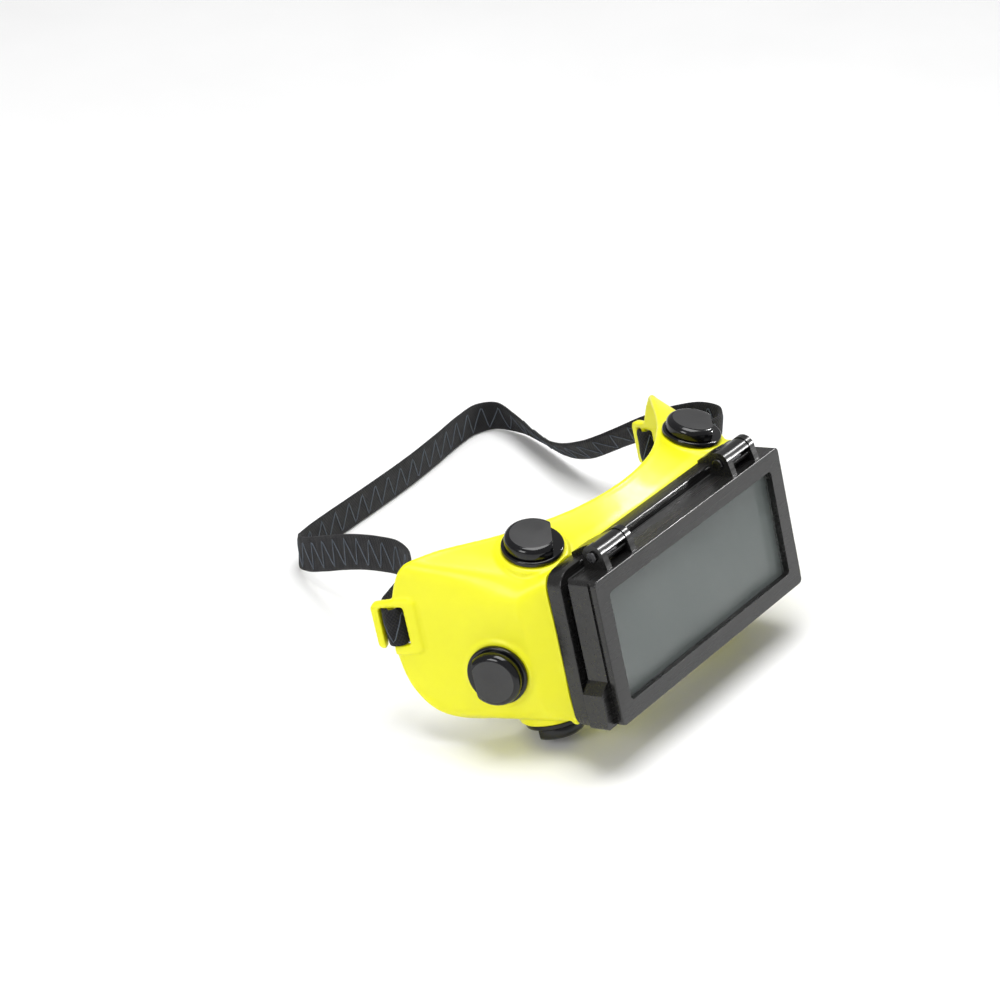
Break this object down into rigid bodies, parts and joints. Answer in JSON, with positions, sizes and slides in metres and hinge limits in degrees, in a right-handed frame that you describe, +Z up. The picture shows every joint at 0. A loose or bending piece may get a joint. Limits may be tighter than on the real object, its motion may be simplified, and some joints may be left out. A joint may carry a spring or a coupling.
{
  "type": "welding goggles",
  "caption": "Flip-front welding goggles: soft eyecup with indirect vents, rectangular lens frame, hinged outer frame holding the dark lens, and an elastic headband.",
  "frame": {"origin": "on the ground, under the middle of the goggles without the free headband", "axes": "+X across the face towards the viewer's right, +Y from the lens towards the face, +Z up"},
  "size_m": [0.206, 0.1911, 0.0818],
  "materials": {
    "yellow_vinyl": "soft glossy moulded vinyl",
    "black_frame": "satin moulded plastic",
    "black_gloss": "glossy moulded plastic",
    "black_rubber": "matt rubber gasket",
    "webbing": "woven elastic with zigzag stitch",
    "steel": "blackened steel pin",
    "shade_glass": "polished dark filter plate",
    "clear_glass": "polished clear plate"
  },
  "bodies": {
    "goggles": {"goggle_body": "yellow_vinyl", "base_frame": "black_frame", "clear_lens": "clear_glass", "clamp_ring": "black_frame", "light_seal": "black_rubber", "vent_base_top_left": "black_gloss", "vent_cap_top_left": "black_gloss", "vent_base_top_right": "black_gloss", "vent_cap_top_right": "black_gloss", "vent_base_bottom_left": "black_gloss", "vent_cap_bottom_left": "black_gloss", "vent_base_bottom_right": "black_gloss", "vent_cap_bottom_right": "black_gloss", "vent_base_side_left": "black_gloss", "vent_cap_side_left": "black_gloss", "vent_base_side_right": "black_gloss", "vent_cap_side_right": "black_gloss", "strap_end_left": "webbing", "strap_end_right": "webbing", "headband_strap": "webbing"},
    "flip_front": {"flip_frame": "black_frame", "cover_lens": "clear_glass", "shade_lens": "shade_glass", "lens_retainer": "black_frame", "hinge_pin_left": "steel", "hinge_pin_right": "steel"}
  },
  "joints": [
    {"name": "flip_hinge", "type": "hinge", "parent": "goggles", "child": "flip_front", "pos_m": [0, -0.02454, 0.0776], "axis": [-1, 0, 0], "range_deg": [0, 105]}
  ]
}
